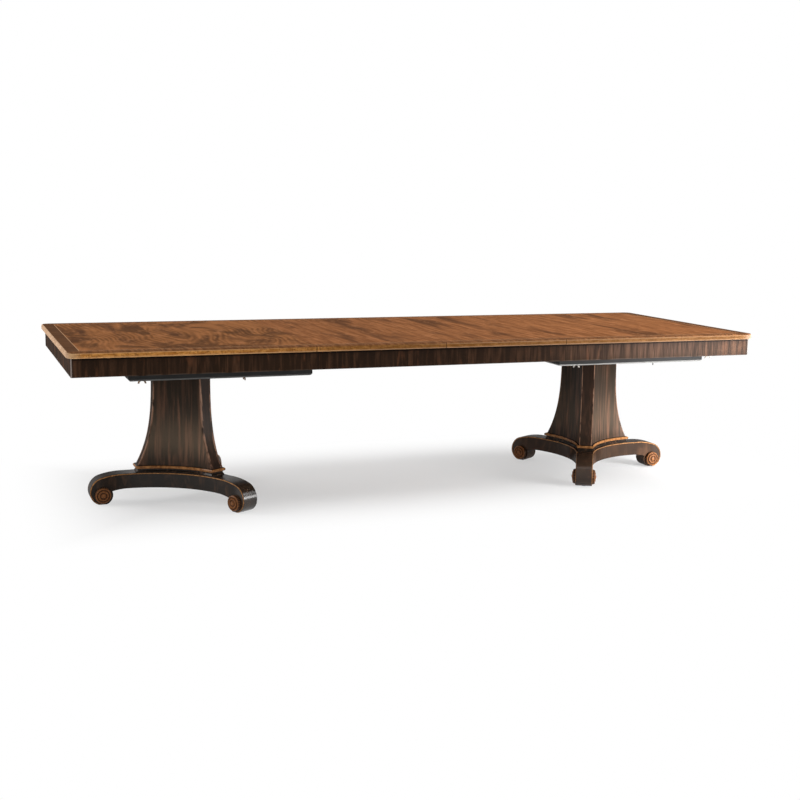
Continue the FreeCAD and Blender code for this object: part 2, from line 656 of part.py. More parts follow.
def leaf_aprons():
    rail = box(SEAM_GAP / 2, SEAM, APRON_INNER_SIDE, APRON_SIDE, APRON_FOOT, TOP_UNDER + LEAF_RIDE)
    return group([rail, mirrored_in_y(rail)])


def lock_plate(x, under):
    """Plate screwed to the underside of a top."""
    length, width = LOCK_PLATE_LENGTH / 2, LOCK_PLATE_WIDTH / 2
    return box(x - width, x + width, -length, length, under - LOCK_PLATE_THICKNESS, under)


def lock_post(x, under):
    """Post riveted to a lock plate, reaching past the hook's bar."""
    return upright(x, 0, LOCK_BAR_FOOT - LOCK_PLAY, under - LOCK_PLATE_THICKNESS, LOCK_POST_RADIUS)


def lock_pivot(x, under):
    """Post with a head that keeps the hook's eye on it."""
    head_top = LOCK_BAR_FOOT - LOCK_PLAY
    return lock_post(x, under).fuse(upright(x, 0, head_top - LOCK_HEAD_THICKNESS, head_top, LOCK_POST_HEAD))


def lock_hook():
    """Hook with its eye on the Z axis, drawn in the locked position along -X and then swung out to -Y."""
    reach = LOCK_PIVOT + LOCK_STRIKE
    top, foot = LOCK_BAR_TOP, LOCK_BAR_FOOT
    half = LOCK_BAR_WIDTH / 2
    bar_end = -(reach + LOCK_TIP)
    hook = box(bar_end, 0, -half, half, foot, top).fuse(upright(0, 0, foot, top, LOCK_EYE_RADIUS))
    hook = hook.fuse(box(bar_end - LOCK_TAB_THICKNESS, bar_end, -half, half, top - LOCK_TAB, top))
    mouth = LOCK_POST_RADIUS + LOCK_MOUTH_PLAY
    relief = reach - math.sqrt(reach ** 2 - (half + mouth) ** 2)
    lead_in = box(-reach - mouth, -reach + mouth + relief, 0, half, foot, top)
    notch = upright(-reach, 0, foot, top, mouth).fuse(lead_in)
    hook = hook.cut(notch).cut(upright(0, 0, foot, top, LOCK_POST_RADIUS + SHAFT_PLAY))
    return turned(hook.removeSplitter(), 90.0)


# One half of the table and its mirror turn

pedestal = {
    "column": column(),
    "plinth": plinth(),
    "hub": hub(),
    "end_arm": arm(),
    "back_arm": turned(arm(), FOOT_ANGLES[1]),
    "front_arm": turned(arm(), FOOT_ANGLES[2]),
    "rosettes": rosettes(),
    "glides": glides(),
    "tie_rod": tie_rod(),
}
half = {name: moved(shape, PEDESTAL_X) for name, shape in pedestal.items()}
half.update({
    "top_panel": top_panel(),
    "top_lipping": top_lipping(),
    "front_apron": mirrored_in_y(apron_side()),
    "back_apron": apron_side(),
    "end_apron": apron_end(),
    "corner_blocks": corner_blocks(),
    "front_rail": moved(fixed_rail(1), y=-SLIDE_Y),
    "back_rail": moved(fixed_rail(1), y=SLIDE_Y),
    "racks": group([moved(rack(1), y=-SLIDE_Y), moved(rack(1), y=SLIDE_Y)]),
    "mounting_board": mounting_board(),
    "cleats": cleats(),
    "board_bolts": board_bolts(),
    "seam_fittings": group([bearer(-BEARER_Y), bearer(BEARER_Y), lock_plate(SEAM + LOCK_PIVOT, TOP_UNDER),
                            lock_pivot(SEAM + LOCK_PIVOT, TOP_UNDER)]),
})

nodes = {}
swapped = {"front": "back", "back": "front"}
for name, shape in half.items():
    nodes["right_" + name] = shape
    words = [swapped.get(word, word) for word in name.split("_")]
    nodes["left_" + "_".join(words)] = turned(shape)

leaf_under = TOP_UNDER + LEAF_RIDE
outer_strike = [lock_plate(SEAM - LOCK_STRIKE, leaf_under), lock_post(SEAM - LOCK_STRIKE, leaf_under)]
inner_strike = [lock_plate(LOCK_STRIKE, leaf_under), lock_post(LOCK_STRIKE, leaf_under)]
inner_pivot = [lock_plate(LOCK_PIVOT, leaf_under), lock_pivot(LOCK_PIVOT, leaf_under)]
nodes.update({
    "right_leaf_panel": leaf_panel(),
    "right_leaf_lipping": leaf_lipping(),
    "right_leaf_aprons": leaf_aprons(),
    "right_leaf_lock_fittings": group(outer_strike + inner_strike),
    "left_leaf_panel": turned(leaf_panel()),
    "left_leaf_lipping": turned(leaf_lipping()),
    "left_leaf_aprons": turned(leaf_aprons()),
    "left_leaf_lock_fittings": turned(group(outer_strike + inner_pivot)),
    "right_lock_hook": moved(lock_hook(), SEAM + LOCK_PIVOT),
    "left_lock_hook": turned(moved(lock_hook(), SEAM + LOCK_PIVOT)),
    "middle_lock_hook": turned(moved(lock_hook(), LOCK_PIVOT)),
    "front_centre_rail": moved(centre_rail(), y=-SLIDE_Y),
    "back_centre_rail": moved(centre_rail(), y=SLIDE_Y),
    "centre_ties": centre_ties(),
    "front_pinion": moved(pinion(), y=-SLIDE_Y),
    "back_pinion": moved(pinion(), y=SLIDE_Y),
})

os.makedirs("parts", exist_ok=True)
for name, shape in nodes.items():
    shape.exportStep("parts/" + name + ".step")
print(len(nodes), "nodes written")
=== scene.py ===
import math
import bpy
from mathutils import Matrix, Vector


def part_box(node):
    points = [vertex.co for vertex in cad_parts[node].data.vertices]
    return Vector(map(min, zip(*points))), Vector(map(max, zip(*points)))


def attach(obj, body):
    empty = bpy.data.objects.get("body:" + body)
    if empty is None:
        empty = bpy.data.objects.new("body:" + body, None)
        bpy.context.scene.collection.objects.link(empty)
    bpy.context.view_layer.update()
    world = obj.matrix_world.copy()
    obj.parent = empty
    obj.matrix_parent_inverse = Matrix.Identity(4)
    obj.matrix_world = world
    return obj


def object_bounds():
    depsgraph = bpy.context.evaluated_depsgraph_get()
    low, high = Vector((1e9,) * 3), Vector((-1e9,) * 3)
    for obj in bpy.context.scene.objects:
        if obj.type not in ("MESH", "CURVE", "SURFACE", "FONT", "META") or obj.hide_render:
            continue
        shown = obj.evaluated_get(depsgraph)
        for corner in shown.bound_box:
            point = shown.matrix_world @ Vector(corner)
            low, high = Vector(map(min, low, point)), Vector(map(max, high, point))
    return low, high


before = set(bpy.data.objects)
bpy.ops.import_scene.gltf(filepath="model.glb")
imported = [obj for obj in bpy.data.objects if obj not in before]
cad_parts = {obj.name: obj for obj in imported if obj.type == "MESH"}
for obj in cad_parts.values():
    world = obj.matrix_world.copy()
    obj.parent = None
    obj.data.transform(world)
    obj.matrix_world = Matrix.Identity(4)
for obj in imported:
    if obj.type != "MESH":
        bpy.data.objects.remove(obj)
cad_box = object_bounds()


# Glides: a small disc under each of the six scroll feet, so that the table can be pushed on a floor.
# Black moulded nylon, dulled and scuffed by use, each held by a nail through its middle.

NYLON_BLACK, NYLON_SCUFFED = (0.012, 0.012, 0.013, 1), (0.055, 0.053, 0.05, 1)
SCUFF_DEPTH = 0.0002
SIDES = ("left", "right")


class Strand:
    """One output of a material's nodes. Sums on it add Math nodes, and node() adds any other node."""

    def __init__(self, tree, socket):
        self.tree = tree
        self.socket = socket

    def node(self, kind, settings, sockets, output=0):
        made = self.tree.nodes.new(kind)
        for name, value in settings.items():
            setattr(made, name, value)
        for key, value in sockets.items():
            if isinstance(value, Strand):
                self.tree.links.new(value.socket, made.inputs[key])
            else:
                made.inputs[key].default_value = value
        if len(made.outputs):
            return Strand(self.tree, made.outputs[output])

    def maths(self, operation, *values):
        return self.node("ShaderNodeMath", {"operation": operation}, dict(enumerate(values)))

    def vectors(self, operation, other):
        return self.node("ShaderNodeVectorMath", {"operation": operation}, {0: self, 1: other})

    def __add__(self, other):
        return self.maths("ADD", self, other)

    def __radd__(self, other):
        return self.maths("ADD", other, self)

    def __sub__(self, other):
        return self.maths("SUBTRACT", self, other)

    def __rsub__(self, other):
        return self.maths("SUBTRACT", other, self)

    def __mul__(self, other):
        return self.maths("MULTIPLY", self, other)

    def __rmul__(self, other):
        return self.maths("MULTIPLY", other, self)

    def __truediv__(self, other):
        return self.maths("DIVIDE", self, other)

    def __rtruediv__(self, other):
        return self.maths("DIVIDE", other, self)

    def __pow__(self, other):
        return self.maths("POWER", self, other)

    def __rpow__(self, other):
        return self.maths("POWER", other, self)

    def __abs__(self):
        return self.maths("ABSOLUTE", self)


def new_finish(name):
    """An empty material, and the place on its piece in metres, which moves with the piece."""
    material = bpy.data.materials.new(name)
    material.use_nodes = True
    tree = material.node_tree
    tree.nodes.clear()
    return material, Strand(tree, None).node("ShaderNodeTexCoord", {}, {}, output="Object")


def grain(place, stretch, detail=4.0, warp=0.0):
    """Noise with so many waves to the metre along each axis, from 0 to 1."""
    spread = place.vectors("MULTIPLY", stretch)
    sockets = {"Vector": spread, "Scale": 1.0, "Detail": detail, "Distortion": warp}
    return place.node("ShaderNodeTexNoise", {}, sockets)


def rise(value, low, high):
    """0 where a value is under low, 1 where it is over high, smooth between."""
    sockets = {"Value": value, "From Min": low, "From Max": high}
    return value.node("ShaderNodeMapRange", {"interpolation_type": "SMOOTHSTEP"}, sockets)


def blend(share, first, second):
    """Colour from first to second as a share goes from 0 to 1."""
    return share.node("ShaderNodeMix", {"data_type": "RGBA"}, {0: share, 6: first, 7: second}, output=2)


def close_finish(place, colour, roughness, relief, depth, **fixed):
    """Ends a material: its colour, its roughness, and a relief that stands up by a depth in metres."""
    raised = place.node("ShaderNodeBump", {}, {"Height": relief, "Distance": depth, "Strength": 1.0})
    sockets = {"Base Color": colour, "Roughness": roughness, "Normal": raised}
    for name, value in fixed.items():
        sockets[name.replace("_", " ")] = value
    shader = place.node("ShaderNodeBsdfPrincipled", {}, sockets)
    place.node("ShaderNodeOutputMaterial", {}, {"Surface": shader})


def both(*pieces):
    """Names of the CAD nodes of like pieces, on the left and on the right."""
    return [side + "_" + piece for side in SIDES for piece in pieces]


def dress(material, names):
    """Puts a finish on CAD nodes."""
    for name in names:
        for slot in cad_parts[name].material_slots:
            slot.material = material


nylon, place = new_finish("black_nylon")
scuff = grain(place, (300, 300, 300), detail=6.0)
nylon_colour = blend(rise(scuff, 0.45, 0.75), NYLON_BLACK, NYLON_SCUFFED)
close_finish(place, nylon_colour, 0.45 + 0.25 * scuff, scuff, SCUFF_DEPTH)
dress(nylon, both("glides"))


# Hub and arms: the base block of each pedestal and the three arms that roll under into scroll feet.
# Hardwood, ebonised and waxed to a satin gloss, with brown wood showing through at rubbed places.
# Browner to the right as painted light, and less glossy there and on the left end arm.

EBONY, RUBBED_BROWN = (0.017, 0.012, 0.009, 1), (0.105, 0.052, 0.028, 1)
CLOUDED_BROWN, RIGHT_LIT_BROWN = (0.06, 0.034, 0.02, 1), (0.13, 0.066, 0.038, 1)
PEDESTAL_X = sum(corner[0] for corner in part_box("right_tie_rod")) / 2
SCROLL_POLISH = (0.36, 0.41)
LEFT_END = (-PEDESTAL_X - 0.36, -PEDESTAL_X - 0.2)
MIDDLE_SPAN = (-0.5, 0.5)
ARM_PORE_DEPTH = 0.00005


def axes(place):
    """The x, y and z of a place."""
    parts = place.node("ShaderNodeSeparateXYZ", {}, {0: place})
    return [Strand(place.tree, parts.socket.node.outputs[axis]) for axis in "XYZ"]


def fall(value, low, high):
    """1 where a value is under low, 0 where it is over high, smooth between."""
    return 1 - rise(value, low, high)


def toward_right(place):
    """0 on the left half of the table, 1 on the right half, smooth across the leaves."""
    return rise(axes(place)[0], *MIDDLE_SPAN)


def pedestal_place(place):
    """Reach along the nearest arm, offset to its side, and level, on either pedestal."""
    x, y, z = axes(place)
    side = x.maths("SIGN", x)
    reach = x * side - PEDESTAL_X
    across = y * side
    angle = x.maths("ARCTAN2", across, reach)
    third = 2 * math.pi / 3
    fold = angle - x.maths("ROUND", angle / third) * third
    radius = (reach * reach + across * across) ** 0.5
    return radius * x.maths("COSINE", fold), radius * x.maths("SINE", fold), z


ebonised, place = new_finish("ebonised_arms")
streaks = grain(place, (26, 26, 9), detail=6.0, warp=0.6)
clouds = grain(place, (7, 7, 7), detail=3.0)
pores = grain(place, (420, 420, 160), detail=2.0)
on_right = toward_right(place)
shade = blend(rise(streaks, 0.46, 0.8) * 0.7, EBONY, RUBBED_BROWN)
shade = blend(rise(clouds, 0.5, 0.8) * 0.45, shade, CLOUDED_BROWN)
# painted light: browner towards the right half, as lit from the right
shade = blend(on_right * 0.16, shade, RIGHT_LIT_BROWN)
polish = 0.42 + 0.56 * rise(pedestal_place(place)[0], *SCROLL_POLISH)
at_left_end = fall(axes(place)[0], *LEFT_END)
polish = polish * (1 - 0.45 * on_right) * (1 - 0.75 * at_left_end)
close_finish(place, shade, 0.3 + 0.2 * streaks, pores, ARM_PORE_DEPTH, Specular_IOR_Level=0.0,
             Coat_Weight=polish, Coat_Roughness=0.2)
dress(ebonised, both("hub", "end_arm", "front_arm", "back_arm"))


# Gilt beads: three half-round mouldings on each pedestal, from one scroll foot over the arm, along the
# hub's hollow side and down to the next foot. Carved in the wood, gilded, toned and rubbed in places.

GILT_TONED, GILT_RUBBED, GILT_FLECK = (0.17, 0.075, 0.026, 1), (0.4, 0.19, 0.07, 1), (0.07, 0.03, 0.013, 1)
GILT_RELIEF = 0.0003
ARM_HALF_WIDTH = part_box("right_end_arm")[1][1]
HUB_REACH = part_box("right_end_arm")[0][0] - PEDESTAL_X
BASE_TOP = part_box("right_hub")[1][2]
SHOULDER_X, SHOULDER_RADIUS = 0.365, 0.070
SCROLL_X, SCROLL_LEVEL, SCROLL_NOSE_RADIUS = 0.377, 0.058, 0.058
NOSE_FIRST, NOSE_LAST = -80, -6
BACK_X, BACK_RADIUS = 0.289, 0.338
HOLLOW_SWEEP = 29
BEAD_INSET = 0.0035
BEAD_RADIUS = 0.0024

gilt, place = new_finish("toned_gilding")
rub = grain(place, (90, 90, 90), detail=6.0)
flecks = grain(place, (700, 700, 700), detail=3.0)
gilt_colour = blend(rise(rub, 0.25, 0.7), GILT_TONED, GILT_RUBBED)
gilt_colour = blend(rise(flecks, 0.62, 0.75) * 0.4, gilt_colour, GILT_FLECK)
close_finish(place, gilt_colour, 0.5 - 0.2 * rub, flecks, GILT_RELIEF, Metallic=0.25, Specular_IOR_Level=0.1)


def turn_about(x, z, radius, first, last, steps):
    """Points (x, z) on an arc, from one angle in degrees to another."""
    angles = [math.radians(first + (last - first) * step / steps) for step in range(steps + 1)]
    return [(x + radius * math.cos(angle), z + radius * math.sin(angle)) for angle in angles]


def arm_edge():
    """The upper edge of an arm's side as (reach, level), from the foot round the scroll to the hub."""
    back_level = BASE_TOP - BACK_RADIUS
    lean = math.degrees(math.atan2(SCROLL_LEVEL - back_level, SHOULDER_X - BACK_X))
    nose_radius = SCROLL_NOSE_RADIUS - BEAD_INSET
    edge = turn_about(SCROLL_X, SCROLL_LEVEL, nose_radius, NOSE_FIRST, NOSE_LAST, steps=10)
    edge += turn_about(SHOULDER_X, SCROLL_LEVEL, SHOULDER_RADIUS - BEAD_INSET, 0, lean, steps=12)
    return edge + turn_about(BACK_X, back_level, BACK_RADIUS - BEAD_INSET, lean + 1, 90, steps=5)


def bead_route(angle):
    """Points of the bead between the arm at an angle and the next one, round a pedestal's axis."""
    here, between, after = (math.radians(angle + turn) for turn in (0, 60, 120))
    hollow_radius = (HUB_REACH - ARM_HALF_WIDTH / math.tan(math.radians(60))) / math.tan(math.radians(30))
    centre_reach = (ARM_HALF_WIDTH + hollow_radius) / math.sin(math.radians(60))

    def on_side(point, way, heading):
        reach, level = point
        return (reach * math.cos(heading) - way * math.sin(heading),
                reach * math.sin(heading) + way * math.cos(heading), level)

    down = [on_side(point, ARM_HALF_WIDTH, here) for point in arm_edge()]
    up = [on_side(point, -ARM_HALF_WIDTH, after) for point in arm_edge()[::-1]]
    hollow = []
    for x, y in turn_about(-centre_reach, 0, hollow_radius, -HOLLOW_SWEEP, HOLLOW_SWEEP, steps=16):
        hollow.append((-x * math.cos(between) - y * math.sin(between),
                       -x * math.sin(between) + y * math.cos(between), BASE_TOP - BEAD_INSET))
    return down + hollow + up


for side, way in (("left", -1), ("right", 1)):
    for number in range(3):
        line = bpy.data.curves.new(side + "_gilt_bead_%d" % (number + 1), "CURVE")
        line.dimensions = "3D"
        line.bevel_depth = BEAD_RADIUS
        line.bevel_resolution = 3
        line.use_fill_caps = True
        route = bead_route(120 * number)
        spline = line.splines.new("POLY")
        spline.points.add(len(route) - 1)
        for point, (x, y, z) in zip(spline.points, route):
            point.co = (way * (x + PEDESTAL_X), way * y, z, 1)
        line.materials.append(gilt)
        bead = bpy.data.objects.new(line.name, line)
        bpy.context.scene.collection.objects.link(bead)
        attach(bead, side + "_half")


# Rosettes: turned roundels on both cheeks of every scroll, with rings round a button.
# Lathe-turned wood, gilded and toned, darker in the grooves and on the notched rim, glued to the scroll.

ROSETTE_TONED, ROSETTE_RUBBED = (0.13, 0.046, 0.015, 1), (0.27, 0.108, 0.036, 1)
GROOVE_BROWN, RIM_BROWN = (0.03, 0.012, 0.005, 1), (0.018, 0.009, 0.005, 1)
ROSETTE_RADIUS = 0.037
SCROLL_CENTRE = 0.045
ROSETTE_GROOVES = (0.36, 0.71)
ROSETTE_NOTCHES = 28

turned_gilt, place = new_finish("turned_gilding")
along, _, level = pedestal_place(place)
ring = ((along - SCROLL_X) ** 2 + (level - SCROLL_CENTRE) ** 2) ** 0.5 / ROSETTE_RADIUS
groove = sum(fall(abs(ring - middle), 0.03, 0.1) for middle in ROSETTE_GROOVES)
rub = grain(place, (150, 150, 150), detail=5.0)
rosette_colour = blend(rise(rub, 0.3, 0.7), ROSETTE_TONED, ROSETTE_RUBBED)
rosette_colour = blend(groove * 0.75, rosette_colour, GROOVE_BROWN)
bearing = level.maths("ARCTAN2", level - SCROLL_CENTRE, along - SCROLL_X)
notch = rise(level.maths("SINE", bearing * ROSETTE_NOTCHES), -1.2, -0.2)
rosette_colour = blend(rise(ring, 0.9, 0.95) * notch, rosette_colour, RIM_BROWN)
close_finish(place, rosette_colour, 0.5 - 0.15 * rub, rub, GILT_RELIEF, Specular_IOR_Level=0.15)
dress(turned_gilt, both("rosettes"))


# Plinths: the three-sided moulded block between the hub and the column.
# Ebonised wood with a cove, under a gilt bead that runs round all three sides.

PLINTH_TONED, PLINTH_RUBBED = (0.17, 0.07, 0.024, 1), (0.36, 0.16, 0.055, 1)
PLINTH_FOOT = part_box("right_plinth")[0][2]
GILT_FROM, GILT_TO = PLINTH_FOOT + 0.0175, PLINTH_FOOT + 0.0305
GILT_EDGE = 0.0005

moulded, place = new_finish("plinth_gilt_and_ebony")
level = axes(place)[2]
rub = grain(place, (60, 60, 60), detail=6.0)
flecks = grain(place, (500, 500, 500), detail=3.0)
over, under = (rise(level, edge - GILT_EDGE, edge + GILT_EDGE) for edge in (GILT_FROM, GILT_TO))
gilt_band = over * (1 - under)
gilt_colour = blend(rise(rub, 0.3, 0.65), PLINTH_TONED, PLINTH_RUBBED)
dark_colour = blend(rise(rub, 0.5, 0.75), EBONY, RUBBED_BROWN)
close_finish(place, blend(gilt_band, dark_colour, gilt_colour), 0.45 - 0.15 * rub, flecks, GILT_RELIEF,
             Specular_IOR_Level=0.0, Coat_Weight=0.25, Coat_Roughness=0.2)
dress(moulded, both("plinth"))


# Columns: three hollow faces and three flat corners, flaring out to the plinth. A veneered block, ebonised
# with brown stripes left in, its corners' edges rubbed to bare wood, more on the left. Paler at mid height as
# painted light, less so on the right, and darker at head and foot as painted shade.

STRIPE_DARK, STRIPE_BROWN = (0.052, 0.038, 0.028, 1), (0.215, 0.108, 0.068, 1)
STRIPE_SHADOW = (0.052, 0.041, 0.031, 1)
PAINTED_MID_LIGHT = (0.27, 0.195, 0.13, 1)
PAINTED_HEAD_FOOT_SHADE = (0.012, 0.007, 0.0035, 1)
CORNER_BLACK, BARE_WOOD = (0.02, 0.0105, 0.007, 1), (0.27, 0.15, 0.098, 1)
CORNER_HALF_WIDTH = 0.030
CORNER_EDGE = (-0.007, -0.003)
HEAD_REACH, FOOT_REACH, FLARE_POWER = 0.145, 0.218, 3.4
COLUMN_FOOT, COLUMN_HEAD = (corner[2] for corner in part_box("right_column"))
MID_LIGHT_FROM, MID_LIGHT_TO = (0.04, 0.24), (0.25, 0.65)
COLUMN_HEAD_SHADE, COLUMN_FOOT_SHADE = (0.25, 0.95), (0.0, 0.12)
WEAR_WIDTH, WEAR_FADE, WEAR_HEAD = 0.014, 0.003, (0.6, 0.95)
STRIPE_RELIEF = 0.00015

striped, place = new_finish("striped_column")
along, aside, level = pedestal_place(place)
on_right = toward_right(place)
stripes = grain(place, (64, 64, 4.0), detail=4.0, warp=0.25)
broad = grain(place, (17, 17, 2.0), detail=2.0)
fine = grain(place, (400, 400, 7), detail=2.0)
patches = grain(place, (10, 10, 5.0), detail=2.0)
ragged = grain(place, (40, 40, 14), detail=6.0, warp=0.8)
striping = rise(stripes, 0.4, 0.72) * (0.45 + 0.55 * rise(patches, 0.3, 0.6))
shade = blend(striping, STRIPE_DARK, STRIPE_BROWN)
shade = blend(rise(broad, 0.42, 0.64) * 0.55, shade, STRIPE_SHADOW)
height = (level - COLUMN_FOOT) / (COLUMN_HEAD - COLUMN_FOOT)
# painted light: paler at mid height, less so on the right
mid_light = rise(height, *MID_LIGHT_FROM) * fall(height, *MID_LIGHT_TO)
shade = blend(mid_light * (0.25 - 0.17 * on_right), shade, PAINTED_MID_LIGHT)
# painted shade: darker at the head, under the board, and at the foot
shade = blend(rise(height, *COLUMN_HEAD_SHADE) * 0.72, shade, PAINTED_HEAD_FOOT_SHADE)
shade = blend(fall(height, *COLUMN_FOOT_SHADE) * 0.4, shade, PAINTED_HEAD_FOOT_SHADE)
flare = (1 - height) ** FLARE_POWER
past_face = along - HEAD_REACH - (FOOT_REACH - HEAD_REACH) * flare
on_corner = rise(past_face, *CORNER_EDGE)
shade = blend(on_corner * 0.78, shade, CORNER_BLACK)
wear = WEAR_WIDTH * ragged * (1 - 0.85 * on_right) * fall(height, *WEAR_HEAD)
arris = on_corner * fall(abs(abs(aside) - CORNER_HALF_WIDTH) - wear, 0.0, WEAR_FADE)
shade = blend(arris * rise(ragged, 0.34, 0.56), shade, BARE_WOOD)
close_finish(place, shade, 0.34 + 0.15 * stripes, fine, STRIPE_RELIEF, Specular_IOR_Level=0.0,
             Coat_Weight=0.09, Coat_Roughness=0.3)
dress(striped, both("column"))


# Tie rods: a threaded rod and two nuts clamp hub, plinth, column and mounting board together.
# Plain bright-zinc steel, dulled, out of sight inside the pedestal.

ZINC_DULL, ZINC_BRIGHT = (0.3, 0.29, 0.27, 1), (0.55, 0.54, 0.52, 1)
STEEL_RELIEF = 0.0001

steel, place = new_finish("zinc_plated_steel")
spangle = grain(place, (220, 220, 220), detail=5.0)
steel_colour = blend(spangle, ZINC_DULL, ZINC_BRIGHT)
close_finish(place, steel_colour, 0.3 + 0.25 * spangle, spangle, STEEL_RELIEF, Metallic=0.9)
dress(steel, both("tie_rod"))


# Mounting boards: the wide plate that carries each column under the apron.
# Painted black, with the lower edges eased and a pale strip along them that is worn paint and a painted
# reflection of the floor, painted paler to the right as painted light.

BOARD_BLACK, BOARD_GREY = (0.012, 0.012, 0.0117, 1), (0.034, 0.033, 0.032, 1)
WORN_PAINT_AND_REFLECTION = (0.28, 0.275, 0.265, 1)
(BOARD_INNER, _, BOARD_UNDER), (BOARD_OUTER, BOARD_SIDE, _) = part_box("right_mounting_board")
BOARD_EASE = 0.007
EASE_FADE, WEAR_AND_REFLECTION_FADE = 0.001, 0.004
LIT_RIGHT_REACH = 0.6
BRUSH_DEPTH = 0.0002

painted, place = new_finish("black_painted_board")
x, y, z = axes(place)
brushed = grain(place, (3, 90, 90), detail=5.0)
blotches = grain(place, (9, 9, 30), detail=3.0)
to_end = x.maths("MINIMUM", abs(x) - BOARD_INNER, BOARD_OUTER - abs(x))
to_edge = x.maths("MINIMUM", to_end, BOARD_SIDE - abs(y))
ease_level = BOARD_UNDER + BOARD_EASE
low = fall(z, ease_level - EASE_FADE, ease_level + EASE_FADE)
eased = low * fall(to_edge, BOARD_EASE, BOARD_EASE + WEAR_AND_REFLECTION_FADE)
shade = blend(blotches, BOARD_BLACK, BOARD_GREY)
# worn paint and painted reflection along the eased edges, painted lighter to the right
wear_and_reflection = eased * rise(brushed, 0.25, 0.5) * (0.25 + 0.75 * rise(x, -LIT_RIGHT_REACH, LIT_RIGHT_REACH))
shade = blend(wear_and_reflection, shade, WORN_PAINT_AND_REFLECTION)
close_finish(place, shade, 0.38 + 0.2 * brushed, brushed, BRUSH_DEPTH, Specular_IOR_Level=0.0,
             Coat_Weight=0.12, Coat_Roughness=0.35)
dress(painted, both("mounting_board"))


# Board bolts: hanger bolts with wing nuts under the boards, and one more under a cleat near each end.
# Tarnished brassed steel, browner on the left half; the greyer, paler copy on the right half is painted
# light.

BOLT_BROWN, BOLT_BRASSY = (0.06, 0.032, 0.016, 1), (0.34, 0.2, 0.11, 1)
LIT_BOLT_DARK, LIT_BOLT_GREY = (0.05, 0.043, 0.036, 1), (0.28, 0.255, 0.225, 1)
TARNISH_RELIEF = 0.0002

bolt_metal, place = new_finish("brassed_bolts")
tarnish = grain(place, (130, 130, 130), detail=6.0)
brown_metal = blend(rise(tarnish, 0.3, 0.65), BOLT_BROWN, BOLT_BRASSY)
lit_grey_metal = blend(rise(tarnish, 0.35, 0.7), LIT_BOLT_DARK, LIT_BOLT_GREY)
# painted light: a greyer, paler copy of the metal on the right half
bolt_colour = blend(toward_right(place), brown_metal, lit_grey_metal)
close_finish(place, bolt_colour, 0.3 + 0.25 * tarnish, tarnish, TARNISH_RELIEF, Metallic=0.6)
dress(bolt_metal, both("board_bolts"))


# Cleats and corner blocks: the bars that hold the boards to the top, and the blocks behind the apron.
# Sawn and planed hardwood with a thin brown stain.

STAIN_DARK, STAIN_LIGHT = (0.12, 0.06, 0.03, 1), (0.3, 0.17, 0.085, 1)
SAWN_DEPTH = 0.0004

planed, place = new_finish("stained_frame_wood")
lines = grain(place, (4, 70, 70), detail=6.0, warp=0.4)
pores = grain(place, (30, 600, 600), detail=2.0)
shade = blend(lines, STAIN_DARK, STAIN_LIGHT)
close_finish(place, shade, 0.55 + 0.2 * lines, pores, SAWN_DEPTH)
dress(planed, both("cleats", "corner_blocks"))


# Slides: fixed rails with dovetail tongues, the centre rails between them, and their cross ties.
# Straight-grained beech, waxed so that it runs.

BEECH_DARK, BEECH_LIGHT, BEECH_FLECK = (0.42, 0.25, 0.13, 1), (0.6, 0.4, 0.23, 1), (0.28, 0.15, 0.07, 1)
BEECH_RELIEF = 0.0002

beech, place = new_finish("waxed_beech")
lines = grain(place, (3, 110, 110), detail=5.0, warp=0.2)
fleck = grain(place, (130, 500, 500), detail=2.0)
shade = blend(lines, BEECH_DARK, BEECH_LIGHT)
shade = blend(rise(fleck, 0.6, 0.72) * 0.5, shade, BEECH_FLECK)
close_finish(place, shade, 0.45 + 0.15 * lines, fleck, BEECH_RELIEF)
dress(beech, both("front_rail", "back_rail"))
dress(beech, ("front_centre_rail", "back_centre_rail", "centre_ties"))


# Racks and pinions: toothed strips in the fixed rails and a gear in each centre rail, which make both
# halves open by the same amount. Machined steel with a film of oil, let into grooves of the rails.

OILED_DARK, OILED_LIGHT = (0.16, 0.155, 0.15, 1), (0.42, 0.41, 0.4, 1)

oiled, place = new_finish("oiled_steel")
smear = grain(place, (60, 60, 60), detail=5.0)
steel_colour = blend(smear, OILED_DARK, OILED_LIGHT)
close_finish(place, steel_colour, 0.22 + 0.25 * smear, smear, STEEL_RELIEF, Metallic=0.95)
dress(oiled, both("racks") + ["front_pinion", "back_pinion"])


# Aprons: the deep rails under the top, on the halves and on both leaves.
# Striped ebony veneer laid with its grain upright in many narrow leaves, and polished. Painted light: paler
# and rosier to the right, with painted highlights at the corners. Painted shade: darker on the leaves and
# under the top, with a painted shadow line below the lipping. Pale along the foot.

APRON_DARK, APRON_STRIPE = (0.021, 0.0105, 0.0055, 1), (0.074, 0.035, 0.0185, 1)
APRON_SHADOW, APRON_FLAME = (0.02, 0.0105, 0.006, 1), (0.11, 0.043, 0.02, 1)
LIT_APRON_DARK, LIT_APRON_STRIPE, LIT_APRON_FOOT = (0.045, 0.026, 0.017, 1), (0.2, 0.104, 0.064, 1), (0.02, 0.011, 0.007, 1)
LEAF_SHADE_BLACK = (0.006, 0.003, 0.002, 1)
HEAD_SHADE_BLACK, UNDER_LIP_SHADOW_BLACK = (0.004, 0.002, 0.001, 1), (0.003, 0.001, 0.0005, 1)
FOOT_GREY, CORNER_HIGHLIGHT_GREY = (0.13, 0.1, 0.08, 1), (0.38, 0.32, 0.29, 1)
APRON_END, APRON_SIDE, APRON_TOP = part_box("right_end_apron")[1]
APRON_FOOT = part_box("right_end_apron")[0][2]
LEAF_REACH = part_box("right_leaf_aprons")[1][0]
LIT_APRON_RANGE = (0.2, 1.2)
FOOT_SHADE, FOOT_ARRIS = (APRON_FOOT, APRON_FOOT + 0.03), (APRON_FOOT + 0.002, APRON_FOOT + 0.0045)
HEAD_SHADE, UNDER_LIP_SHADOW = (APRON_TOP - 0.03, APRON_TOP), (APRON_TOP - 0.011, APRON_TOP - 0.006)
CORNER_HIGHLIGHT = (0.003, 0.006)
VENEER_RELIEF = 0.0001

